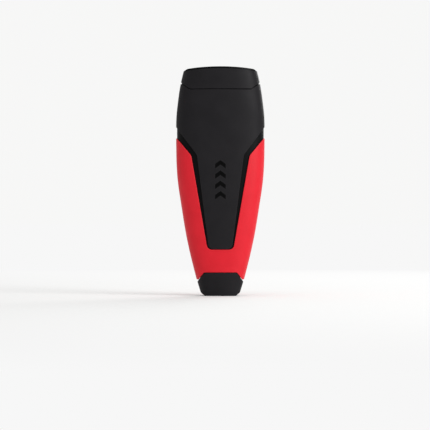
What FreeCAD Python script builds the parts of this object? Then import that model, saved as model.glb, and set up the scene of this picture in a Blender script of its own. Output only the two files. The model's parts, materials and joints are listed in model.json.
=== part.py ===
import FreeCAD, Part
import math
import os

# Retractable dust brush with its bristles drawn in. Millimetres.
# X is the width, Y the depth with the front at -Y, Z the length with the mouth at the top.
# The origin is the middle of the flat end of the tail cap.

Vector = FreeCAD.Vector

# ---- Overall size ----
body_length = 98.0
body_width = 38.0
body_depth = 17.0            # front of the body to the top of the thumb slider
slider_stand = 0.6           # height of the thumb slider above the thickest point of the back

# ---- Shape of the body: share of the length, of the half width and of the half depth ----
body_stations = (
    (0.00, 0.440, 0.66),
    (0.11, 0.588, 0.74),
    (0.29, 0.796, 0.86),
    (0.46, 0.935, 0.95),
    (0.61, 0.995, 0.99),
    (0.69, 1.000, 1.00),
    (0.76, 0.998, 0.995),
    (0.86, 0.951, 0.965),
    (0.92, 0.904, 0.93),
    (1.00, 0.805, 0.87),
)
body_fullness = 2.5          # exponent of the rounded section, 2 is an ellipse
section_points = 16

# ---- Walls, steps and gaps ----
skin_depth = 1.0             # panels and covers, front and back
skin_side = 0.4              # panels and covers, at the sides
chassis_wall = 1.3
cover_step = 0.25            # the covers lie this much lower than the panels
seam_gap = 0.15              # between neighbouring skins
collar_gap = 0.3             # between the collar and the panels
skin_edge = 0.2              # rounding of the visible edges of the skins
collar_edge = 0.2            # the same on the collar
running_gap = 0.3            # between sliding pieces
stop_gap = 0.1               # between the carriage and its upper stop, drawn out
guide_gap = 0.08             # between the carriage wings and their rails
seat_gap = 0.04              # pegs, pins and screws in their holes

# ---- Collar and mouth ----
collar_height = 9.5          # mouth down to the straight part of the parting line
parting_side = 4.3           # width of the slanted part of the parting line on each side
parting_slope = 0.70
parting_radius = 0.6
parting_notch = 0.09         # extra slope of the collar, which opens the joint towards the sides
mouth_crown = 107.0          # radius of the arched top edge
corner_width = 1.5           # bevel at each top corner
corner_height = 0.85
corner_drop = 1.8            # mouth down to the foot of the bevel
neck_drop = 5.5              # mouth down to the top of the chassis
liner_rim = 0.75             # thickness of the liner's rim
liner_wall = 0.6
collar_wall = 1.07           # wall of the collar round the liner, at the back
collar_side_wall = 1.9       # the same at the sides
mouth_fullness = 3.5         # exponent of the mouth's section

# ---- Front and rear panel ----
shoulder_drop = 37.76        # mouth down to the shoulder corner
tongue_top = 10.0            # half width of the tongue at the shoulder
tongue_end = 4.95            # half width of the tongue at its end
tongue_height = 20.0         # end of the tongue above the tail
shoulder_slope = 1.341
shoulder_radius = 3.0
tongue_radius = 2.2
band_width = 2.46            # dark band beside the tongue, at the shoulder
band_end = 0.55              # the same at the end of the tongue
band_slope = 1.205

# ---- Tail cap ----
tail_height = 9.9
tail_top = 7.0               # half widths of the cap's outline
tail_middle = 9.85
tail_low = 8.4
tail_foot = 6.6
tail_middle_height = 6.05
tail_low_height = 1.4
tail_top_radius = 1.2
tail_middle_radius = 0.5
tail_low_radius = 0.8
ear_height = 7.0             # lower end of the covers beside the cap
tail_edge = 0.55
plug_height = 7.0            # plug inside the chassis, above the cap
plug_rise = 2.4              # lower end of the plug, inside the cap

# ---- Brush ----
bristle_length = 26.5        # free length of a tuft
tip_inset = 1.2              # tips below the mouth, drawn in
travel = 24.0
holder_height = 8.0
holder_gap = 1.0             # between the holder and the mouth, front and back
holder_fullness = 4.0        # exponent of the holder's section
holder_edge = 0.5
tuft_radius = 0.95
tuft_tip_radius = 1.2
tuft_pitch = 2.5
tuft_rows = 3
row_pitch = 2.3
tuft_seat = 3.2
tuft_margin = 0.6            # between the outer tufts and the holder's side
tip_spread_x = 1.12
tip_spread_y = 1.25
tip_fall = 1.4               # outer tufts are this much shorter than the middle ones
anchor_height = 0.5
anchor_half_length = 0.76
anchor_half_thickness = 0.15

# ---- Carriage and rails ----
carriage_tail = 9.0          # below the middle of the thumb slider
carriage_plate = 3.0
wing_width = 1.8
wing_thickness = 2.0
tenon_height = 4.0
tenon_thickness = 2.4
tenon_inset = 2.2            # from the holder's side
pin_radius = 0.75
pin_inset = 4.6              # from the holder's side
pin_sink = 0.15              # ends of the pins below the holder's faces
window_half = 2.6            # the two windows in the carriage plate
window_rise = 6.5
window_drop = 2.2
window_radius = 1.2
rail_offset = 0.1            # rails outside the mouth's opening
rail_wall = 1.2
rib_margin = 0.5             # rails and bosses below the top of the chassis
stop_height = 1.5

# ---- Thumb slider and its track ----
slider_length = 14.0
slider_half_width = 5.0
slider_radius = 2.0
slider_edge = 0.3
slider_neck_length = 9.0
slider_neck_half = 2.0
slider_neck_radius = 1.2
slider_neck_sink = 0.2       # the neck reaches this far into the pad
track_margin = 0.6           # round the slider at both ends of its travel
track_land = 3.3             # between the track and the parting line
dish_depth = 0.7
dish_margin = 1.2            # between the dish and both ends of the slider
ridge_count = 5
ridge_pitch = 1.9
ridge_radius = 0.35
ridge_margin = 1.0           # between the ridges and the slider's sides

# ---- Detent springs ----
spring_offset = 7.0          # from the middle plane
spring_width = 4.0           # width of a rib's notch
spring_thickness = 0.3
spring_foot = 5.0            # length of the flat foot
spring_margin = 0.4          # lower end of the foot above the end of the carriage
spring_lip = 0.8             # free end, bent away from the rib
spring_lip_rise = 0.4
nose_radius = 1.4
nose_sweep = 60              # degrees of the nose on each side of its top
nose_steps = 6
nose_clearance = 0.03        # between the nose and its notch
detent_reach = 4.6           # faces of the detent ribs, from the middle plane
detent_depth = 0.6
detent_rise = 11.5           # notch above the lower end of the carriage
detent_radius = 2.0
rib_run = 5.0                # a rib starts this far below its lower notch
rivet_radius = 0.6
rivet_head = 1.15
rivet_head_height = 0.5
rivet_edge = 0.3
rivet_reach = 0.2            # far end of the shank, past the middle plane

# ---- Screws ----
screw_radius = 1.0
screw_head_radius = 1.9
screw_head_height = 1.2
screw_length = 7.0
screw_seat = 3.0             # face under the heads, behind the middle plane
pilot_spare = 0.4            # bores are this much deeper than the screws
boss_radius = 2.6
upper_screw_half = 4.0       # distance of the screws from the middle plane
lower_screw_half = 3.0
screw_setback = 7.5          # upper screws below the carriage
screw_rise = 8.0             # lower screws above the plug
slider_screw_radius = 0.8
slider_screw_head = 1.5
slider_screw_head_height = 1.0
slider_screw_pitch = 5.0
slider_thread = 4.0          # depth of the bores in the slider
slider_thread_spare = 0.3
head_rounding = 0.45         # shares of a screw head's height and radius
recess_depth = 0.6
recess_reach = 0.62
recess_width = 0.14

# ---- Pegs behind the skins ----
peg_radius = 0.9
panel_peg_half = 10.0
panel_peg_drop = 8.0         # below the parting line
cover_peg_drop = 15.0        # upper pegs below the shoulder
cover_peg_rise = 5.0         # lower pegs above the tail cap
cover_peg_inset = 4.0        # from the side of the body

# ---- Marks on the front panel ----
mark_count = 4
mark_half_width = 2.3
mark_height = 1.7
mark_arm = 2.0
mark_pitch = 4.4
mark_drop = 55.0             # mouth down to the middle of the lowest mark
mark_depth = 0.3
mark_sink = 0.05

# ---- Values that follow ----
front_half = body_depth / 2
rear_half = body_depth / 2 - slider_stand
overrun = 1.0                # the body shape runs past both ends and is then cut
reach = body_width / 2 + 5   # half size of the blocks that cut the body
same_place = 1e-4            # edges this close to a face lie on it
on_skin = 0.02               # the same for the body's curved surface

parting_height = body_length - collar_height
neck_top = body_length - neck_drop
shoulder_height = body_length - shoulder_drop
plug_top = tail_height + plug_height

tip_height = body_length - tip_inset
holder_top = tip_height - bristle_length
holder_bottom = holder_top - holder_height
wing_top = holder_bottom + travel

track_top = parting_height - collar_gap - track_land
slider_middle = track_top - track_margin - travel - slider_length / 2
carriage_bottom = slider_middle - carriage_tail
track_bottom = slider_middle - slider_length / 2 - track_margin
slot_half = slider_neck_half + running_gap
slot_bottom = slider_middle - slider_neck_length / 2 - running_gap
slot_top = slider_middle + slider_neck_length / 2 + travel + running_gap
slider_screw_places = (slider_middle - slider_screw_pitch / 2, slider_middle + slider_screw_pitch / 2)

detent_height = carriage_bottom + detent_rise
rivet_height = carriage_bottom + spring_foot / 2
pilot_depth = screw_length - screw_seat + pilot_spare
upper_screw_height = carriage_bottom - screw_setback
lower_screw_height = plug_top + screw_rise
screw_places = []
for side in (-1, 1):
    screw_places.append((side * upper_screw_half, upper_screw_height))
    screw_places.append((side * lower_screw_half, lower_screw_height))


def station_share(z, column):
    """Share of the half width (column 1) or half depth (column 2) at height z, straight between stations."""
    share = z / body_length
    low, high = body_stations[0], body_stations[1]
    for first, second in zip(body_stations, body_stations[1:]):
        if share > first[0]:
            low, high = first, second
    part = (share - low[0]) / (high[0] - low[0])
    return low[column] + part * (high[column] - low[column])


def half_width(z):
    return body_width / 2 * station_share(z, 1)


def front_depth(z):
    return front_half * station_share(z, 2)


def rear_depth(z):
    return rear_half * station_share(z, 2)


mouth_half_width = half_width(body_length) - collar_side_wall - liner_wall
mouth_half_depth = rear_depth(body_length) - collar_wall - liner_wall
rail_inner = mouth_half_width + rail_offset
carriage_half = rail_inner - running_gap
wing_half = carriage_half + wing_width
plate_half = carriage_plate / 2
holder_half_width = mouth_half_width - 2 * running_gap
holder_half_depth = mouth_half_depth - holder_gap
tenon_half = holder_half_width - tenon_inset
tenon_top = holder_bottom + tenon_height
pin_half = holder_half_width - pin_inset
pin_height = holder_bottom + tenon_height / 2

tufts_in_row = 2 * int((holder_half_width - tuft_radius - tuft_margin) / tuft_pitch) + 1
tuft_places = []
for row in range(tuft_rows):
    row_count = tufts_in_row - (row + 1) % 2
    for column in range(row_count):
        x = (column - (row_count - 1) / 2) * tuft_pitch
        y = (row - (tuft_rows - 1) / 2) * row_pitch
        tuft_places.append((row, x, y))


def closed_spline(points):
    curve = Part.BSplineCurve()
    curve.interpolate(Points=points, PeriodicFlag=True)
    return curve.toShape()


def oval(half_x, front, rear, z, fullness=body_fullness):
    """Rounded section: a closed spline with its own depth to the front and to the rear.
    The spline swells a little between its points, so its points are drawn in to keep the stated size."""
    points = []
    for step in range(section_points):
        angle = 2 * math.pi * (step + 0.5) / section_points
        across = math.cos(angle)
        along = math.sin(angle)
        depth = rear if along > 0 else front
        x = half_x * math.copysign(abs(across) ** (2 / fullness), across)
        y = depth * math.copysign(abs(along) ** (2 / fullness), along)
        points.append(Vector(x, y, z))
    swollen = closed_spline(points).optimalBoundingBox()
    for point in points:
        point.x *= half_x / (swollen.XMax if point.x > 0 else -swollen.XMin)
        point.y *= rear / swollen.YMax if point.y > 0 else front / -swollen.YMin
    return Part.Wire(closed_spline(points))


def body_shape(side_inset=0.0, depth_inset=0.0):
    """The body's outer shape, set in by side_inset at the sides and depth_inset at front and back."""
    heights = [-overrun]
    for station in body_stations:
        heights.append(station[0] * body_length)
    heights.append(body_length + overrun)
    sections = []
    for z in heights:
        wide = half_width(z) - side_inset
        sections.append(oval(wide, front_depth(z) - depth_inset, rear_depth(z) - depth_inset, z))
    return Part.makeLoft(sections, True, False)


def rounded_wire(corners):
    """Closed wire in the XZ plane. Each corner is (x, z, radius)."""
    count = len(corners)
    starts = []
    ends = []
    edges = []
    for i in range(count):
        here = Vector(corners[i][0], 0, corners[i][1])
        before = Vector(corners[i - 1][0], 0, corners[i - 1][1])
        after = Vector(corners[(i + 1) % count][0], 0, corners[(i + 1) % count][1])
        radius = corners[i][2]
        if radius == 0:
            starts.append(here)
            ends.append(here)
            continue
        to_before = (before - here).normalize()
        to_after = (after - here).normalize()
        half_angle = to_before.getAngle(to_after) / 2
        back = radius / math.tan(half_angle)
        bisector = (to_before + to_after).normalize()
        centre = here + bisector * (radius / math.sin(half_angle))
        starts.append(here + to_before * back)
        ends.append(here + to_after * back)
        edges.append(Part.Arc(starts[i], centre - bisector * radius, ends[i]).toShape())
    for i in range(count):
        nearer = starts[(i + 1) % count]
        if ends[i].distanceToPoint(nearer) > 1e-6:
            edges.append(Part.LineSegment(ends[i], nearer).toShape())
    return Part.Wire(Part.__sortEdges__(edges))


def outline_block(corners, low=-reach, high=reach):
    """Block that has the outline in front view and runs from y = low to y = high."""
    face = Part.Face(rounded_wire(corners))
    face.translate(Vector(0, low, 0))
    return face.extrude(Vector(0, high - low, 0))


def symmetric(right_side):
    """The corners of the right side, from top to bottom, followed by their mirror image."""
    left_side = []
    for x, z, radius in reversed(right_side):
        left_side.append((-x, z, radius))
    return list(right_side) + left_side


def box(low, high):
    size = Vector(*high) - Vector(*low)
    return Part.makeBox(size.x, size.y, size.z, Vector(*low))


def between(z_low, z_high):
    return box((-reach, -reach, z_low), (reach, reach, z_high))


def rod(radius, start, end):
    line = Vector(*end) - Vector(*start)
    return Part.makeCylinder(radius, line.Length, Vector(*start), line)


def ordered_box(first, second):
    low = [min(a, b) for a, b in zip(first, second)]
    high = [max(a, b) for a, b in zip(first, second)]
    return box(low, high)


def joined(first, others):
    return first.multiFuse(others)


def mid_point(edge):
    middle = (edge.FirstParameter + edge.LastParameter) / 2
    return edge.valueAt(middle)


def round_edges(shape, radius, chosen):
    return shape.makeFillet(radius, [edge for edge in shape.Edges if chosen(edge)])


def at_depth(y):
    """Test for edges that lie in the plane at depth y."""
    return lambda edge: abs(mid_point(edge).y - y) < same_place


outer_body = body_shape()
cover_body = body_shape(0.0, cover_step)
chassis_body = body_shape(skin_side, skin_depth)
cavity_body = body_shape(skin_side + chassis_wall, skin_depth + chassis_wall)
panel_shell = outer_body.cut(chassis_body)
cover_shell = cover_body.cut(chassis_body)
chassis_shell = chassis_body.cut(cavity_body)
front_side = box((-reach, -reach, -overrun), (reach, 0, body_length + overrun))
rear_side = box((-reach, 0, -overrun), (reach, reach, body_length + overrun))


def on_surface(body):
    """Test for edges that lie on the body's outer surface and off the middle plane."""
    skin = body.Shells[0]

    def chosen(edge):
        point = mid_point(edge)
        if abs(point.y) < on_skin:
            return False
        return skin.distToShape(Part.Vertex(point))[0] < on_skin

    return chosen


# ---- Outlines in front view ----
def parting_line(drop, slope):
    """Corners of the parting line under the collar, lowered by drop, from the outside in."""
    flat = half_width(parting_height) - parting_side
    rise = (reach - flat) * slope
    return [(reach, parting_height - drop + rise, 0), (flat, parting_height - drop, parting_radius)]


def collar_outline():
    corner = half_width(body_length - corner_drop)
    bevel = corner_height / corner_width
    top = body_length + overrun
    foot = body_length - corner_drop
    top_half = corner - (top - foot) / bevel
    under = parting_slope + parting_notch
    meeting = parting_line(0, under)[1]
    outer_x = (foot + corner * bevel - meeting[1] + meeting[0] * under) / (bevel + under)
    outer_z = foot - (outer_x - corner) * bevel
    return symmetric([(top_half, top, 0), (outer_x, outer_z, 0), meeting])


def panel_outline():
    outer, meeting = parting_line(collar_gap, parting_slope)
    shoulder_side = shoulder_height + (reach - tongue_top) * shoulder_slope
    corners = [meeting, outer, (reach, shoulder_side, 0)]
    corners.append((tongue_top, shoulder_height, shoulder_radius))
    corners.append((tongue_end, tongue_height, tongue_radius))
    return symmetric(corners)


def cover_opening_outline():
    corner_x = tongue_top + band_width
    corner_z = shoulder_height - (band_slope - 1) * band_width / 2
    outer_z = corner_z + (reach - corner_x) * band_slope
    corners = [(reach, body_length + overrun, 0), (reach, outer_z, 0)]
    corners.append((corner_x, corner_z, shoulder_radius))
    corners.append((tongue_end + band_end, tongue_height - seam_gap, tongue_radius))
    return symmetric(corners)


def tail_outline(grow=0.0):
    corners = [(tail_top + grow / 2, tail_height + grow, tail_top_radius)]
    corners.append((tail_middle + grow, tail_middle_height, tail_middle_radius))
    corners.append((tail_low + grow, tail_low_height, tail_low_radius))
    corners.append((tail_foot, 0.0, 0))
    return symmetric(corners)


def export(name, shape):
    shape.exportStep("parts/" + name + ".step")
    print(name, len(shape.Solids), "solids", round(shape.Volume, 1), "mm3", shape.isValid())


# ---- Skins ----
def track_window():
    wide = slider_half_width + track_margin
    corners = [(wide, track_top, slider_radius), (wide, track_bottom, slider_radius)]
    return outline_block(symmetric(corners), 0, reach)


def peg_places(panel):
    """Places of the pegs behind a panel or a cover, as (x, z)."""
    if panel:
        upper = parting_height - panel_peg_drop
        lower = (upper_screw_height + lower_screw_height) / 2
        return [(-panel_peg_half, upper), (panel_peg_half, upper), (0, lower)]
    places = []
    for z in (shoulder_height - cover_peg_drop, tail_height + cover_peg_rise):
        x = half_width(z) - cover_peg_inset
        places.append((-x, z))
        places.append((x, z))
    return places


def pegs(panel, side, radius):
    """Pegs from a skin through the chassis wall. Side is -1 at the front and 1 at the rear."""
    rods = []
    for x, z in peg_places(panel):
        peg = rod(radius, (x, 0, z), (x, side * reach, z))
        rods.append(peg.common(chassis_shell))
    return rods


def facing(side):
    return front_side if side < 0 else rear_side


def panel(side):
    skin = panel_shell.common(outline_block(panel_outline())).common(facing(side))
    skin = round_edges(skin, skin_edge, on_surface(outer_body))
    if side > 0:
        skin = skin.cut(track_window())
    else:
        skin = skin.cut(marks(0))
    return joined(skin, pegs(True, side, peg_radius))


def grip_cover(side):
    skin = cover_shell.common(between(ear_height, body_length)).common(facing(side))
    skin = skin.cut(outline_block(cover_opening_outline()))
    skin = skin.cut(outline_block(tail_outline(seam_gap)))
    skin = round_edges(skin, skin_edge, on_surface(cover_body))
    return joined(skin, pegs(False, side, peg_radius))


# ---- Marks: chevrons that point to the mouth, sunk into the front panel ----
def chevron(middle):
    tip = middle + (mark_height + mark_arm) / 2
    foot = tip - mark_height
    right = [(0, tip, 0), (mark_half_width, foot, 0), (mark_half_width, foot - mark_arm, 0)]
    corners = right + [(0, tip - mark_arm, 0), (-mark_half_width, foot - mark_arm, 0)]
    corners.append((-mark_half_width, foot, 0))
    return outline_block(corners, -reach, 0)


def marks(sink):
    """The chevrons between the sunk face and the floor of their recess, one solid each."""
    lowered = outer_body.copy()
    lowered.translate(Vector(0, mark_depth, 0))
    upper = outer_body.copy()
    upper.translate(Vector(0, sink, 0))
    chevrons = []
    for i in range(mark_count):
        middle = body_length - mark_drop + i * mark_pitch
        chevrons.append(upper.common(chevron(middle)).cut(lowered))
    return chevrons


# ---- Collar, liner and tail cap ----
def crown(drop):
    """Cylinder whose top is the arched top edge of the mouth, lowered by drop."""
    top = body_length - drop
    return rod(mouth_crown, (0, -reach, top - mouth_crown), (0, reach, top - mouth_crown))


def mouth_core(wall, low, high):
    """Straight core of the mouth's opening, wider by wall."""
    wide = mouth_half_width + wall
    deep = mouth_half_depth + wall
    section = Part.Face(oval(wide, deep, deep, low, mouth_fullness))
    return section.extrude(Vector(0, 0, high - low))


def nose_collar():
    shape = outer_body.common(outline_block(collar_outline())).common(crown(liner_rim))
    shape = round_edges(shape, collar_edge, on_surface(outer_body))
    shape = shape.cut(chassis_body.common(between(0, neck_top)))
    return shape.cut(mouth_core(liner_wall, neck_top - overrun, body_length + overrun))


def mouth_liner():
    rim = outer_body.common(outline_block(collar_outline())).common(crown(0)).cut(crown(liner_rim))
    sleeve = mouth_core(liner_wall, neck_top, body_length).common(crown(liner_rim / 2))
    shape = rim.fuse(sleeve).removeSplitter()
    return shape.cut(mouth_core(0, neck_top - overrun, body_length + overrun))


def tail_cap():
    on_body = on_surface(outer_body)
    cap = outer_body.common(outline_block(tail_outline()))
    cap = round_edges(cap, tail_edge, lambda edge: mid_point(edge).z > on_skin and on_body(edge))
    inset = chassis_wall + seat_gap
    plug = body_shape(skin_side + inset, skin_depth + inset).common(between(plug_rise, plug_top))
    return cap.fuse(plug).removeSplitter()


# ---- Chassis halves ----
def rails(side):
    """U-shaped rails and end stops for the carriage wings, in one chassis half."""
    gap = wing_thickness / 2 + guide_gap
    outer_x = wing_half + guide_gap + rail_wall
    low_z = carriage_bottom - stop_height
    high_z = wing_top + stop_gap + stop_height
    blocks = []
    for x_side in (-1, 1):
        web = ordered_box((x_side * rail_inner, side * gap, low_z), (x_side * outer_x, side * reach, high_z))
        back = ordered_box((x_side * (wing_half + guide_gap), 0, low_z), (x_side * outer_x, side * gap, high_z))
        blocks.append(web)
        blocks.append(back)
        for bottom, top in ((low_z, carriage_bottom), (high_z - stop_height, high_z)):
            blocks.append(ordered_box((x_side * rail_inner, 0, bottom), (x_side * outer_x, side * gap, top)))
    return blocks


def detent_ribs():
    """Ribs behind the front wall, each with a notch at both ends of the travel."""
    blocks = []
    axis_y = -detent_reach - detent_depth + detent_radius
    for x_side in (-1, 1):
        near = x_side * spring_offset - spring_width / 2
        far = near + spring_width
        rib = box((near, -reach, detent_height - rib_run), (far, -detent_reach, wing_top))
        for z in (detent_height, detent_height + travel):
            rib = rib.cut(rod(detent_radius, (near - overrun, axis_y, z), (far + overrun, axis_y, z)))
        blocks.append(rib)
    return blocks


def chassis(side):
    shell = chassis_shell.common(between(ear_height + seam_gap, neck_top)).common(facing(side))
    inside = chassis_body.common(between(tail_height, neck_top - rib_margin)).common(facing(side))
    ribs = rails(side)
    for x, z in screw_places:
        ribs.append(rod(boss_radius, (x, 0, z), (x, side * reach, z)))
    if side < 0:
        ribs += detent_ribs()
    solid_ribs = [rib.common(inside) for rib in ribs]
    shape = joined(shell, solid_ribs)
    shape = shape.cut(outline_block(tail_outline(seam_gap)))
    cutters = pegs(True, side, peg_radius + seat_gap) + pegs(False, side, peg_radius + seat_gap)
    for x, z in screw_places:
        cutters.append(rod(screw_radius + seat_gap, (x, -pilot_depth, z), (x, reach, z)))
        if side > 0:
            cutters.append(rod(screw_head_radius + 2 * seat_gap, (x, screw_seat, z), (x, reach, z)))
    if side > 0:
        radius = slider_neck_radius + running_gap
        corners = [(slot_half, slot_top, radius), (slot_half, slot_bottom, radius)]
        cutters.append(outline_block(symmetric(corners), 0, reach))
    return shape.cut(cutters)


# ---- Screws ----
def cross_recess(x, z, top, side, radius, depth):
    """Cross-shaped recess in a screw head whose crown lies at y = top."""
    arm = radius * recess_reach
    thin = radius * recess_width
    floor = top - side * depth
    level = ordered_box((x - arm, top, z - thin), (x + arm, floor, z + thin))
    upright = ordered_box((x - thin, top, z - arm), (x + thin, floor, z + arm))
    return level.fuse(upright)


def screw(x, z, seat, side, shank_radius, head_radius, head_height, length):
    """Pan-head screw along Y. Side is the side that its head is on, seat the face under the head."""
    top = seat + side * head_height
    head = rod(head_radius, (x, seat, z), (x, top, z))
    head = round_edges(head, head_height * head_rounding, at_depth(top))
    shank = rod(shank_radius, (x, seat, z), (x, seat - side * length, z))
    recess = cross_recess(x, z, top, side, head_radius, head_height * recess_depth)
    return head.fuse(shank).removeSplitter().cut(recess)


def chassis_screws():
    screws = []
    for x, z in screw_places:
        one = screw(x, z, screw_seat, 1, screw_radius, screw_head_radius, screw_head_height, screw_length)
        screws.append(one)
    return Part.Compound(screws)


def slider_screws():
    length = carriage_plate + slider_thread - slider_thread_spare
    head_height = slider_screw_head_height
    screws = []
    for z in slider_screw_places:
        screws.append(screw(0, z, -plate_half, -1, slider_screw_radius, slider_screw_head, head_height, length))
    return Part.Compound(screws)


# ---- Brush carriage ----
def carriage_window(x_side):
    low = carriage_bottom + window_rise
    high = holder_bottom - window_drop
    corners = []
    for x, z in ((window_half, high), (window_half, low), (-window_half, low), (-window_half, high)):
        corners.append((x_side * spring_offset + x, z, window_radius))
    return outline_block(corners)


def pin_rod(x_side, radius, half):
    x = x_side * pin_half
    return rod(radius, (x, -half, pin_height), (x, half, pin_height))


def carriage():
    wing = wing_thickness / 2
    thick = tenon_thickness / 2
    plate = box((-carriage_half, -plate_half, carriage_bottom), (carriage_half, plate_half, holder_bottom))
    wings = box((-wing_half, -wing, carriage_bottom), (wing_half, wing, holder_bottom))
    tenon = box((-tenon_half, -thick, holder_bottom - overrun), (tenon_half, thick, tenon_top))
    shape = plate.fuse([wings, tenon]).removeSplitter()
    cutters = []
    for z in slider_screw_places:
        cutters.append(rod(slider_screw_radius + seat_gap, (0, -reach, z), (0, reach, z)))
    for x_side in (-1, 1):
        x = x_side * spring_offset
        bore_end = rivet_reach + seat_gap
        cutters.append(pin_rod(x_side, pin_radius + seat_gap, reach))
        cutters.append(rod(rivet_radius + seat_gap, (x, -reach, rivet_height), (x, bore_end, rivet_height)))
        cutters.append(carriage_window(x_side))
    return shape.cut(cutters)


def thumb_slider():
    low_z = slider_middle - slider_length / 2
    high_z = slider_middle + slider_length / 2
    base = rear_half - skin_depth + running_gap / 2
    corners = [(slider_half_width, high_z, slider_radius), (slider_half_width, low_z, slider_radius)]
    pad = outline_block(symmetric(corners), base, front_half)
    pad = round_edges(pad, slider_edge, at_depth(front_half))
    chord = slider_length / 2 - dish_margin
    dish_radius = (chord ** 2 + dish_depth ** 2) / (2 * dish_depth)
    axis_y = front_half - dish_depth + dish_radius
    dish = rod(dish_radius, (-reach, axis_y, slider_middle), (reach, axis_y, slider_middle))
    pad = pad.cut(dish)
    additions = []
    half = slider_half_width - ridge_margin
    for i in range(ridge_count):
        offset = (i - (ridge_count - 1) / 2) * ridge_pitch
        y = axis_y - math.sqrt(dish_radius ** 2 - offset ** 2)
        z = slider_middle + offset
        additions.append(rod(ridge_radius, (-half, y, z), (half, y, z)))
    neck_low = slider_middle - slider_neck_length / 2
    neck_high = slider_middle + slider_neck_length / 2
    neck = [(slider_neck_half, neck_high, slider_neck_radius), (slider_neck_half, neck_low, slider_neck_radius)]
    additions.append(outline_block(symmetric(neck), plate_half, base + slider_neck_sink))
    bore_end = plate_half + slider_thread
    bores = []
    for z in slider_screw_places:
        bores.append(rod(slider_screw_radius + seat_gap, (0, 0, z), (0, bore_end, z)))
    return joined(pad, additions).cut(bores)


# ---- Detent springs ----
def strip(path, thickness):
    """Bent strip of even thickness as a closed face in the YZ plane. Path holds (y, z) points."""
    upper = []
    lower = []
    for i, (y, z) in enumerate(path):
        before = path[max(i - 1, 0)]
        after = path[min(i + 1, len(path) - 1)]
        run = Vector(0, after[0] - before[0], after[1] - before[1]).normalize()
        normal = Vector(0, -run.z, run.y)
        upper.append(Vector(0, y, z) + normal * thickness / 2)
        lower.append(Vector(0, y, z) - normal * thickness / 2)
    return Part.Face(Part.makePolygon(upper + lower[::-1] + upper[:1]))


def detent_spring(x_side):
    """Leaf spring: a flat foot on the carriage, a ramp, and a round nose that sits in the notch."""
    foot_y = -plate_half - spring_thickness / 2
    nose_y = -detent_reach - detent_depth + nose_clearance + spring_thickness / 2 + nose_radius
    foot_low = carriage_bottom + spring_margin
    path = [(foot_y, foot_low), (foot_y, foot_low + spring_foot)]
    for step in range(nose_steps + 1):
        angle = math.radians(nose_sweep) * (2 * step / nose_steps - 1)
        y = nose_y - nose_radius * math.cos(angle)
        z = detent_height + nose_radius * math.sin(angle)
        path.append((y, z))
    end_y, end_z = path[-1]
    path.append((end_y + spring_lip, end_z + spring_lip_rise))
    x = x_side * spring_offset
    half = spring_width / 2 - running_gap
    face = strip(path, spring_thickness)
    face.translate(Vector(x - half, 0, 0))
    shape = face.extrude(Vector(2 * half, 0, 0))
    return shape.cut(rod(rivet_radius + seat_gap, (x, -reach, rivet_height), (x, 0, rivet_height)))


def spring_rivets():
    face = -plate_half - spring_thickness
    crown_y = face - rivet_head_height
    z = rivet_height
    rivets = []
    for x_side in (-1, 1):
        x = x_side * spring_offset
        head = rod(rivet_head, (x, face, z), (x, crown_y, z))
        head = round_edges(head, rivet_edge, at_depth(crown_y))
        shank = rod(rivet_radius, (x, face, z), (x, rivet_reach, z))
        rivets.append(head.fuse(shank).removeSplitter())
    return Part.Compound(rivets)


# ---- Bristles ----
def bristle_holder():
    outline = oval(holder_half_width, holder_half_depth, holder_half_depth, holder_bottom, holder_fullness)
    section = Part.Face(outline)
    shape = section.extrude(Vector(0, 0, holder_height))
    shape = round_edges(shape, holder_edge, lambda edge: abs(mid_point(edge).z - holder_top) < same_place)
    wide = tenon_half + seat_gap
    thick = tenon_thickness / 2 + seat_gap
    cutters = [box((-wide, -thick, holder_bottom - overrun), (wide, thick, tenon_top + seat_gap))]
    for x_side in (-1, 1):
        cutters.append(pin_rod(x_side, pin_radius + seat_gap, reach))
    for row, x, y in tuft_places:
        cutters.append(rod(tuft_radius + seat_gap, (x, y, holder_top - tuft_seat), (x, y, holder_top + overrun)))
    return shape.cut(cutters)


def holder_pins():
    half = holder_half_depth - pin_sink
    return Part.Compound([pin_rod(x_side, pin_radius, half) for x_side in (-1, 1)])


def level_circle(centre, radius):
    return Part.Wire(Part.Circle(centre, Vector(0, 0, 1), radius).toShape())


def bristle_row(row):
    """The tufts of one row. Each stands upright in its bore and spreads a little towards its tip."""
    tufts = []
    widest = (tufts_in_row - 1) / 2 * tuft_pitch
    foot_z = holder_top - tuft_seat + anchor_height
    for this_row, x, y in tuft_places:
        if this_row != row:
            continue
        root = rod(tuft_radius, (x, y, foot_z), (x, y, holder_top))
        tip = Vector(x * tip_spread_x, y * tip_spread_y, tip_height - tip_fall * (x / widest) ** 2)
        lower = level_circle(Vector(x, y, holder_top), tuft_radius)
        upper = level_circle(tip, tuft_tip_radius)
        spread = Part.makeLoft([lower, upper], True, True)
        tufts.append(root.fuse(spread).removeSplitter())
    return Part.Compound(tufts)


def tuft_anchors():
    anchors = []
    low_z = holder_top - tuft_seat
    high_z = low_z + anchor_height
    for row, x, y in tuft_places:
        low = (x - anchor_half_length, y - anchor_half_thickness, low_z)
        high = (x + anchor_half_length, y + anchor_half_thickness, high_z)
        anchors.append(box(low, high))
    return Part.Compound(anchors)


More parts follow.
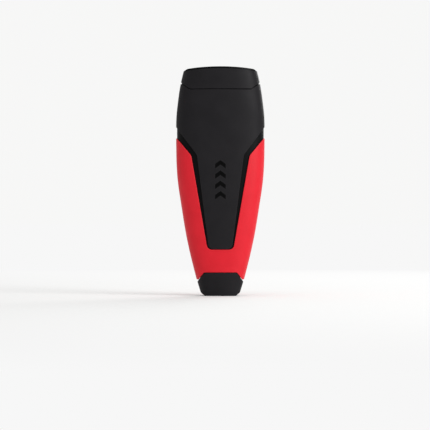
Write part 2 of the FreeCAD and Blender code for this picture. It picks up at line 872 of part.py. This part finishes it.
# ---- Every piece ----
os.makedirs("parts", exist_ok=True)
export("front_chassis", chassis(-1))
export("rear_chassis", chassis(1))
export("front_grip_cover", grip_cover(-1))
export("rear_grip_cover", grip_cover(1))
export("front_panel", panel(-1))
export("rear_panel", panel(1))
export("arrow_inlays", Part.Compound(marks(mark_sink)))
export("nose_collar", nose_collar())
export("mouth_liner", mouth_liner())
export("tail_cap", tail_cap())
export("chassis_screws", chassis_screws())
export("carriage", carriage())
export("thumb_slider", thumb_slider())
export("slider_screws", slider_screws())
export("detent_spring_left", detent_spring(-1))
export("detent_spring_right", detent_spring(1))
export("spring_rivets", spring_rivets())
export("bristle_holder", bristle_holder())
export("holder_pins", holder_pins())
for row, name in enumerate(("front", "middle", "rear")):
    export("bristle_row_" + name, bristle_row(row))
export("tuft_anchors", tuft_anchors())
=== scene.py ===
import json
import math
import random

import bpy
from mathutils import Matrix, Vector


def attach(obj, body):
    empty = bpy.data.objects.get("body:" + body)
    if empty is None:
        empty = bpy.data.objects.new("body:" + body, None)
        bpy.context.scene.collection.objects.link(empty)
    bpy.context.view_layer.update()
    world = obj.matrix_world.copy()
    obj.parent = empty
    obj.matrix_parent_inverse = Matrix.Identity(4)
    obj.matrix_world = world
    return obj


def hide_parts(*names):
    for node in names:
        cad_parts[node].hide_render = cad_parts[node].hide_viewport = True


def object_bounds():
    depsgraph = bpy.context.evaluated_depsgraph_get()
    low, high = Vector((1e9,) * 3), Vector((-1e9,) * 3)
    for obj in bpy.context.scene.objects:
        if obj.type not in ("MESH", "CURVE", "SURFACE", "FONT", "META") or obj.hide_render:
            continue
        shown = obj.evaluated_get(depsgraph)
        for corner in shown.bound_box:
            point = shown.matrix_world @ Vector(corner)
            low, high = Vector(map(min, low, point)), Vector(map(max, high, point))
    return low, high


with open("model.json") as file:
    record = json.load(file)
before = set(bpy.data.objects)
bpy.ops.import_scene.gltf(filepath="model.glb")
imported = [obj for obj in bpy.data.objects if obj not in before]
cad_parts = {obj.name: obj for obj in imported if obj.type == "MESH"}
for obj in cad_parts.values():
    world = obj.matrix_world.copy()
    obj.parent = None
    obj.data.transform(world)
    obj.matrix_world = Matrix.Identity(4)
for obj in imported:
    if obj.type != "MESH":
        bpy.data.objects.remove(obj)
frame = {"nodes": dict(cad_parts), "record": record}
cad_low, cad_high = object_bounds()

# Retractable dust brush. Metres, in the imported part's own frame: front at -Y, mouth at the top.
MM = 0.001

# ---- Camera: a long lens that looks level at the front ----
FRAME_WIDTH = 184.6 * MM     # what the frame spans at the object
LENS = 200.0                 # lens and sensor in millimetres, as the camera takes them
SENSOR = 36.0
CLIP_END = 50.0
AIM_X = -2.3 * MM            # the middle of the frame
AIM_Z = 34.6 * MM

# ---- Studio ----
BACKDROP = 0.93              # brightness of the white room, as seen
ROOM_LIGHT = 0.5             # what the room gives to the object
ROOM_COLOUR = (1.0, 1.0, 0.995)
FLOOR_COLOUR = (0.77, 0.77, 0.765)
FLOOR_RADIUS = 8.0
FLOOR_SIDES = 96
FLOOR_NEAR = 0.06            # up to this far from the object's middle the floor is a lit surface
FLOOR_FAR = 0.50             # and as bright as the room from here on
LIGHTS_AIM = (0, 0, 0.05)    # about half way up the object

# ---- Moulded plastic. Noise scales are in grains per metre ----
EDGE_WIDTH = 0.35 * MM       # edges are painted pale this far in: partly rubbed wear, partly a painted highlight
EDGE_SAMPLES = 4
EDGE_SHARP = 0.88            # cosine of the surface's turn where an edge counts in full
EDGE_FLAT = 0.99             # and where it stops counting
EDGE_PATCH_SCALE = 900.0
EDGE_PATCH_LEAST = 0.15             # share of the pale edge that is left between the patches
MOTTLE_SCALE = 160.0
SMUDGE_SCALE = 75.0
SMUDGE_POLISH = 0.05         # how much smoother than its mean the surface gets
SMUDGE_DULL = 0.06           # and how much rougher
GRAIN_STRENGTH = 0.8
WAVE_SCALE = 120.0           # the slight unevenness of a moulded face
WAVE_DEPTH = 0.05 * MM
WAVE_STRENGTH = 0.15

# ---- Metal ----
TARNISH_SCALE = 700.0
METAL_POLISH = 0.06
METAL_DULL = 0.1
METAL_DEPTH = 0.008 * MM
METAL_STRENGTH = 0.5

# ---- Nylon ----
PALE_BELOW_TOP = 2 * MM      # from this far below the object's top, filaments are fully pale
PALE_LENGTH = 9 * MM         # and they turn pale over this length below it
STRAND_SCALE = 2600.0        # so that neighbours differ
NYLON_SPECULAR = 0.5
NYLON_SHEEN = 0.15

# ---- Bristles ----
FILAMENTS_PER_TUFT = 84
FILAMENT_RADIUS = 0.075 * MM
FILAMENT_SIDES = 4
FILAMENT_STEPS = 7
FILAMENT_TAPER = 0.55        # share of its radius that a filament loses by its tip
FILAMENT_LEAN = 1.15         # over 1, a filament leaves the holder upright and leans later
TIP_SPLAY = 1.75             # filaments end up to this many times as far out as the solid tuft
TIP_SPLAY_LEAST = 0.7        # the least share of that splay
TIP_RAGGED = 1.1 * MM        # difference in length between the filaments
TIP_RAGGED_MODE = 0.15       # the likeliest share of that difference
BOW = 0.16 * MM
BRUSH_HALF_WIDTH = 12.45 * MM    # the tips stay clear of the mouth
BRUSH_HALF_DEPTH = 4.75 * MM
BRUSH_SQUARENESS = 4         # power of the rounded outline: 2 is an ellipse
BRUSH_SLACK = 0.07           # tips end up to this share inside the outline
GOLDEN_ANGLE = math.pi * (3 - math.sqrt(5))    # spreads points evenly over a disc
SAME_POINT = 0.001 * MM      # vertices within this are one
SAME_HEIGHT = 0.01 * MM      # and within this are level
SEED = 41

nodes = frame["nodes"]


# ---- Shader helpers ----
# The Mix node has sockets of one name for each kind of value. These numbers are its colour sockets.
MIX_FACTOR = 0
MIX_FIRST = 6
MIX_SECOND = 7
MIX_RESULT = 2


def new_material(name):
    material = bpy.data.materials.new(name)
    material.use_nodes = True
    return material, material.node_tree.nodes, material.node_tree.links


def shader_of(tree_nodes):
    return tree_nodes["Principled BSDF"]


def noise(tree_nodes, links, scale, detail=3.0, roughness=0.5):
    """Noise in object coordinates. Scale is in grains per metre."""
    coords = tree_nodes.new("ShaderNodeTexCoord")
    texture = tree_nodes.new("ShaderNodeTexNoise")
    texture.inputs["Scale"].default_value = scale
    texture.inputs["Detail"].default_value = detail
    texture.inputs["Roughness"].default_value = roughness
    links.new(coords.outputs["Object"], texture.inputs["Vector"])
    return texture.outputs["Fac"]


def spread(tree_nodes, links, source, low, high, from_low=0.3, from_high=0.7):
    """Maps a noise value to the range from low to high."""
    node = tree_nodes.new("ShaderNodeMapRange")
    node.inputs["From Min"].default_value = from_low
    node.inputs["From Max"].default_value = from_high
    node.inputs["To Min"].default_value = low
    node.inputs["To Max"].default_value = high
    links.new(source, node.inputs["Value"])
    return node.outputs["Result"]


def mixed_colour(tree_nodes, links, factor, first, second):
    """Mixes two colours, each given as three numbers or as the socket that it comes from."""
    node = tree_nodes.new("ShaderNodeMix")
    node.data_type = "RGBA"
    for socket, value in ((node.inputs[MIX_FIRST], first), (node.inputs[MIX_SECOND], second)):
        if hasattr(value, "links"):
            links.new(value, socket)
        else:
            socket.default_value = (*value, 1.0)
    links.new(factor, node.inputs[MIX_FACTOR])
    return node.outputs[MIX_RESULT]


def edge_wear_and_highlight_mask(tree_nodes, links):
    """High where the surface turns sharply, broken up by noise: where edges are painted pale, partly as
    rubbed wear and partly as a painted highlight.
    """
    bevel = tree_nodes.new("ShaderNodeBevel")
    bevel.samples = EDGE_SAMPLES
    bevel.inputs["Radius"].default_value = EDGE_WIDTH
    geometry = tree_nodes.new("ShaderNodeNewGeometry")
    dot = tree_nodes.new("ShaderNodeVectorMath")
    dot.operation = "DOT_PRODUCT"
    links.new(bevel.outputs["Normal"], dot.inputs[0])
    links.new(geometry.outputs["Normal"], dot.inputs[1])
    edge = spread(tree_nodes, links, dot.outputs["Value"], 1.0, 0.0, EDGE_SHARP, EDGE_FLAT)
    edge_patches = spread(tree_nodes, links, noise(tree_nodes, links, EDGE_PATCH_SCALE), EDGE_PATCH_LEAST, 1.0)
    both = tree_nodes.new("ShaderNodeMath")
    both.operation = "MULTIPLY"
    links.new(edge, both.inputs[0])
    links.new(edge_patches, both.inputs[1])
    return both.outputs["Value"]


def bumps(tree_nodes, links, layers):
    """Stacks bump layers. Each layer is (height socket, distance in metres, strength)."""
    normal = None
    for height, distance, strength in layers:
        node = tree_nodes.new("ShaderNodeBump")
        node.inputs["Distance"].default_value = distance
        node.inputs["Strength"].default_value = strength
        links.new(height, node.inputs["Height"])
        if normal is not None:
            links.new(normal, node.inputs["Normal"])
        normal = node.outputs["Normal"]
    return normal


def moulded_plastic(name, colour, shade, edge_wear_and_highlight, roughness, grain_scale, grain_depth, specular):
    """Injection-moulded plastic: spark-eroded grain, faint mottling, and pale edges that are partly
    rubbed wear and partly a painted highlight.
    """
    material, tree_nodes, links = new_material(name)
    shader = shader_of(tree_nodes)
    mottle = spread(tree_nodes, links, noise(tree_nodes, links, MOTTLE_SCALE, detail=5.0), 0.0, 1.0)
    body = mixed_colour(tree_nodes, links, mottle, colour, shade)
    # Pale edges: partly rubbed wear, partly a painted highlight.
    edges = edge_wear_and_highlight_mask(tree_nodes, links)
    links.new(mixed_colour(tree_nodes, links, edges, body, edge_wear_and_highlight), shader.inputs["Base Color"])
    smudges = noise(tree_nodes, links, SMUDGE_SCALE, detail=4.0, roughness=0.6)
    dullness = spread(tree_nodes, links, smudges, roughness - SMUDGE_POLISH, roughness + SMUDGE_DULL)
    links.new(dullness, shader.inputs["Roughness"])
    shader.inputs["Specular IOR Level"].default_value = specular
    grain = noise(tree_nodes, links, grain_scale, detail=2.0, roughness=0.6)
    waves = noise(tree_nodes, links, WAVE_SCALE, detail=1.0)
    layers = [(waves, WAVE_DEPTH, WAVE_STRENGTH), (grain, grain_depth, GRAIN_STRENGTH)]
    links.new(bumps(tree_nodes, links, layers), shader.inputs["Normal"])
    return material


def metal(name, colour, tarnish, roughness, grain_scale):
    """Plated or drawn metal: a fine grain, and patches of tarnish."""
    material, tree_nodes, links = new_material(name)
    shader = shader_of(tree_nodes)
    patches = spread(tree_nodes, links, noise(tree_nodes, links, TARNISH_SCALE, detail=4.0), 0.0, 1.0)
    links.new(mixed_colour(tree_nodes, links, patches, colour, tarnish), shader.inputs["Base Color"])
    shader.inputs["Metallic"].default_value = 1.0
    grain = noise(tree_nodes, links, grain_scale)
    dullness = spread(tree_nodes, links, grain, roughness - METAL_POLISH, roughness + METAL_DULL)
    links.new(dullness, shader.inputs["Roughness"])
    layers = [(grain, METAL_DEPTH, METAL_STRENGTH)]
    links.new(bumps(tree_nodes, links, layers), shader.inputs["Normal"])
    return material


def nylon(name, root_colours, tip_colours, roughness):
    """Dark nylon filaments that turn paler towards the object's top, where their tips are."""
    material, tree_nodes, links = new_material(name)
    shader = shader_of(tree_nodes)
    coords = tree_nodes.new("ShaderNodeTexCoord")
    split = tree_nodes.new("ShaderNodeSeparateXYZ")
    links.new(coords.outputs["Object"], split.inputs["Vector"])
    pale_from_z = cad_high.z - PALE_BELOW_TOP
    height = spread(tree_nodes, links, split.outputs["Z"], 0.0, 1.0, pale_from_z - PALE_LENGTH, pale_from_z)
    strands = spread(tree_nodes, links, noise(tree_nodes, links, STRAND_SCALE, detail=1.0), 0.0, 1.0)
    root = mixed_colour(tree_nodes, links, strands, root_colours[0], root_colours[1])
    tip = mixed_colour(tree_nodes, links, strands, tip_colours[0], tip_colours[1])
    links.new(mixed_colour(tree_nodes, links, height, root, tip), shader.inputs["Base Color"])
    links.new(spread(tree_nodes, links, strands, *roughness, 0.0, 1.0), shader.inputs["Roughness"])
    shader.inputs["Specular IOR Level"].default_value = NYLON_SPECULAR
    shader.inputs["Sheen Weight"].default_value = NYLON_SHEEN
    return material


# The third colour of each moulding paints its edges pale: partly rubbed wear, partly a painted highlight.
graphite = moulded_plastic(
    "graphite_abs", colour=(0.0085, 0.0078, 0.0092), shade=(0.0110, 0.0101, 0.0118),
    edge_wear_and_highlight=(0.034, 0.032, 0.035), roughness=0.52, grain_scale=5200.0, grain_depth=0.03 * MM, specular=0.14,
)
black = moulded_plastic(
    "black_abs", colour=(0.0012, 0.0014, 0.0017), shade=(0.0018, 0.0020, 0.0024),
    edge_wear_and_highlight=(0.009, 0.009, 0.010), roughness=0.42, grain_scale=6400.0, grain_depth=0.012 * MM, specular=0.09,
)
red = moulded_plastic(
    "red_abs", colour=(0.70, 0.011, 0.024), shade=(0.65, 0.009, 0.020),
    edge_wear_and_highlight=(0.80, 0.06, 0.07), roughness=0.44, grain_scale=6000.0, grain_depth=0.016 * MM, specular=0.22,
)
ink = moulded_plastic(
    "black_print", colour=(0.0008, 0.0008, 0.0009), shade=(0.0012, 0.0012, 0.0013),
    edge_wear_and_highlight=(0.003, 0.003, 0.003), roughness=0.36, grain_scale=3600.0, grain_depth=0.01 * MM, specular=0.06,
)
zinc = metal(
    "zinc_steel", colour=(0.56, 0.57, 0.60), tarnish=(0.42, 0.44, 0.50),
    roughness=0.3, grain_scale=5000.0,
)
spring = metal(
    "spring_steel", colour=(0.50, 0.49, 0.46), tarnish=(0.38, 0.36, 0.33),
    roughness=0.28, grain_scale=4200.0,
)
brass = metal(
    "brass", colour=(0.66, 0.48, 0.20), tarnish=(0.48, 0.32, 0.12),
    roughness=0.32, grain_scale=4600.0,
)
filament = nylon(
    "nylon_bristle", root_colours=((0.012, 0.011, 0.011), (0.035, 0.031, 0.029)),
    tip_colours=((0.06, 0.052, 0.046), (0.11, 0.095, 0.082)), roughness=(0.3, 0.45),
)

finishes = {
    "graphite_abs": graphite,
    "black_abs": black,
    "red_abs": red,
    "black_print": ink,
    "zinc_steel": zinc,
    "spring_steel": spring,
    "brass": brass,
    "nylon_bristle": filament,
}
for part in frame["record"]["subparts"]:
    mesh = nodes[part["node"]].data
    mesh.materials.clear()
    mesh.materials.append(finishes[part["material_slot"]])


# ---- Bristles: real filaments in place of each solid tuft ----
def loose_tufts(node):
    """The tufts of one row, each as a list of its points."""
    mesh = nodes[node].data
    parent = list(range(len(mesh.vertices)))

    def root(i):
        while parent[i] != i:
            parent[i] = parent[parent[i]]
            i = parent[i]
        return i

    places = {}
    for vertex in mesh.vertices:
        key = tuple(round(c / SAME_POINT) for c in vertex.co)
        first = places.setdefault(key, vertex.index)
        parent[root(vertex.index)] = root(first)
    for edge in mesh.edges:
        parent[root(edge.vertices[0])] = root(edge.vertices[1])
    groups = {}
    for vertex in mesh.vertices:
        groups.setdefault(root(vertex.index), []).append(vertex.co.copy())
    return list(groups.values())


def ring_at(points, z):
    """Middle and radius of the points that lie at height z."""
    level = [p for p in points if abs(p.z - z) < SAME_HEIGHT]
    middle = sum(level, Vector()) / len(level)
    radius = max((p - middle).length for p in level)
    return middle, radius


def kept_in(point, slack):
    """The point, drawn in to the brush's rounded outline where it lies outside, less a share of slack."""
    across = abs(point.x / BRUSH_HALF_WIDTH) ** BRUSH_SQUARENESS
    deep = abs(point.y / BRUSH_HALF_DEPTH) ** BRUSH_SQUARENESS
    reach = (across + deep) ** (1 / BRUSH_SQUARENESS)
    if reach > 1.0:
        point.x /= reach + slack
        point.y /= reach + slack
    return point


def filament_line(foot, tip, bow):
    """A filament from foot to tip that leaves the holder upright and bows a little."""
    points = []
    for i in range(FILAMENT_STEPS + 1):
        share = i / FILAMENT_STEPS
        point = foot.lerp(tip, share ** FILAMENT_LEAN)
        point.z = foot.z + (tip.z - foot.z) * share
        point += bow * math.sin(math.pi * share)
        points.append(point)
    return points


def add_tube(verts, faces, line):
    """A tapered filament round the line, closed at both ends."""
    first = len(verts)
    sides = FILAMENT_SIDES
    for i, point in enumerate(line):
        share = i / (len(line) - 1)
        r = FILAMENT_RADIUS * (1.0 - FILAMENT_TAPER * share ** 3)
        for side in range(sides):
            angle = 2 * math.pi * side / sides
            verts.append((point.x + r * math.cos(angle), point.y + r * math.sin(angle), point.z))
    for i in range(len(line) - 1):
        for side in range(sides):
            a = first + i * sides + side
            b = first + i * sides + (side + 1) % sides
            faces.append((a, b, b + sides, a + sides))
    faces.append(tuple(reversed(range(first, first + sides))))
    last = first + (len(line) - 1) * sides
    faces.append(tuple(range(last, last + sides)))


def bristle_row(node, chance):
    """Stands for one row of solid tufts: a bundle of filaments from each tuft's foot to its tip."""
    verts = []
    faces = []
    for tuft in loose_tufts(node):
        low_z = min(p.z for p in tuft)
        high_z = max(p.z for p in tuft)
        foot, foot_radius = ring_at(tuft, low_z)
        tip, tip_radius = ring_at(tuft, high_z)
        for i in range(FILAMENTS_PER_TUFT):
            ring = math.sqrt((i + 0.5) / FILAMENTS_PER_TUFT)
            angle = i * GOLDEN_ANGLE
            around = Vector((math.cos(angle), math.sin(angle), 0))
            start = foot + around * ring * (foot_radius - FILAMENT_RADIUS)
            splay = tip_radius * TIP_SPLAY * chance.uniform(TIP_SPLAY_LEAST, 1.0)
            end = kept_in(tip + around * ring * splay, chance.uniform(0.0, BRUSH_SLACK))
            end.z -= chance.triangular(0.0, 1.0, TIP_RAGGED_MODE) * TIP_RAGGED
            turn = chance.uniform(0, 2 * math.pi)
            bow = Vector((math.cos(turn), math.sin(turn), 0)) * chance.uniform(0.0, BOW)
            add_tube(verts, faces, filament_line(start, end, bow))
    mesh = bpy.data.meshes.new(node + "_filaments")
    mesh.from_pydata(verts, [], faces)
    mesh.polygons.foreach_set("use_smooth", [True] * len(mesh.polygons))
    mesh.materials.append(filament)
    piece = bpy.data.objects.new(node + "_filaments", mesh)
    bpy.context.scene.collection.objects.link(piece)
    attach(piece, "brush_carriage")
    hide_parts(node)


random_source = random.Random(SEED)
for place in ("front", "middle", "rear"):
    bristle_row("bristle_row_" + place, random_source)


# ---- Floor, light and camera ----
def floor():
    """A pale floor that shades into the white room away from the object."""
    bpy.ops.mesh.primitive_circle_add(
        vertices=FLOOR_SIDES, radius=FLOOR_RADIUS, fill_type="NGON", location=(0, 0, 0))
    disc = bpy.context.object
    disc.name = "studio_floor"
    material, tree_nodes, links = new_material("studio_floor")
    shader = shader_of(tree_nodes)
    coords = tree_nodes.new("ShaderNodeTexCoord")
    distance = tree_nodes.new("ShaderNodeVectorMath")
    distance.operation = "LENGTH"
    links.new(coords.outputs["Object"], distance.inputs[0])
    far = spread(tree_nodes, links, distance.outputs["Value"], 0.0, 1.0, FLOOR_NEAR, FLOOR_FAR)
    dark = (0.0, 0.0, 0.0)
    base = mixed_colour(tree_nodes, links, far, FLOOR_COLOUR, dark)
    glow = mixed_colour(tree_nodes, links, far, dark, (BACKDROP, BACKDROP, BACKDROP))
    links.new(base, shader.inputs["Base Color"])
    links.new(glow, shader.inputs["Emission Color"])
    shader.inputs["Emission Strength"].default_value = 1.0
    shader.inputs["Roughness"].default_value = 1.0
    shader.inputs["Specular IOR Level"].default_value = 0.0
    disc.data.materials.append(material)


def area_light(name, place, size, power):
    """A soft rectangular light that faces the object. Size is width and height, power is in watts."""
    data = bpy.data.lights.new(name, "AREA")
    data.shape = "RECTANGLE"
    data.size = size[0]
    data.size_y = size[1]
    data.energy = power
    light = bpy.data.objects.new(name, data)
    light.location = place
    light.rotation_euler = (Vector(LIGHTS_AIM) - Vector(place)).to_track_quat("-Z", "Y").to_euler()
    bpy.context.scene.collection.objects.link(light)


def studio_world():
    """A white room: what the camera sees of it, and the softer light that it gives."""
    world = bpy.data.worlds.new("studio")
    world.use_nodes = True
    bpy.context.scene.world = world
    tree_nodes = world.node_tree.nodes
    links = world.node_tree.links
    backdrop = tree_nodes["Background"]
    backdrop.inputs["Color"].default_value = (*ROOM_COLOUR, 1.0)
    path = tree_nodes.new("ShaderNodeLightPath")
    strength = tree_nodes.new("ShaderNodeMapRange")
    strength.inputs["To Min"].default_value = ROOM_LIGHT
    strength.inputs["To Max"].default_value = BACKDROP
    links.new(path.outputs["Is Camera Ray"], strength.inputs["Value"])
    links.new(strength.outputs["Result"], backdrop.inputs["Strength"])


def camera():
    """A level camera in front, at the distance where the frame spans FRAME_WIDTH at the object."""
    data = bpy.data.cameras.new("camera")
    data.lens = LENS
    data.sensor_width = SENSOR
    data.clip_end = CLIP_END
    distance = FRAME_WIDTH * LENS / SENSOR
    eye = bpy.data.objects.new("camera", data)
    eye.location = (AIM_X, -distance, AIM_Z)
    eye.rotation_euler = (math.pi / 2, 0, 0)
    bpy.context.scene.collection.objects.link(eye)
    bpy.context.scene.camera = eye


floor()
studio_world()
area_light("key", place=(0.62, -0.50, 0.34), size=(0.45, 0.45), power=4.5)
area_light("top", place=(0.05, -0.10, 0.9), size=(0.7, 0.7), power=3.0)
area_light("back", place=(0.3, 0.75, 0.4), size=(0.6, 0.5), power=4.5)
camera()
bpy.context.scene.view_settings.view_transform = "Standard"
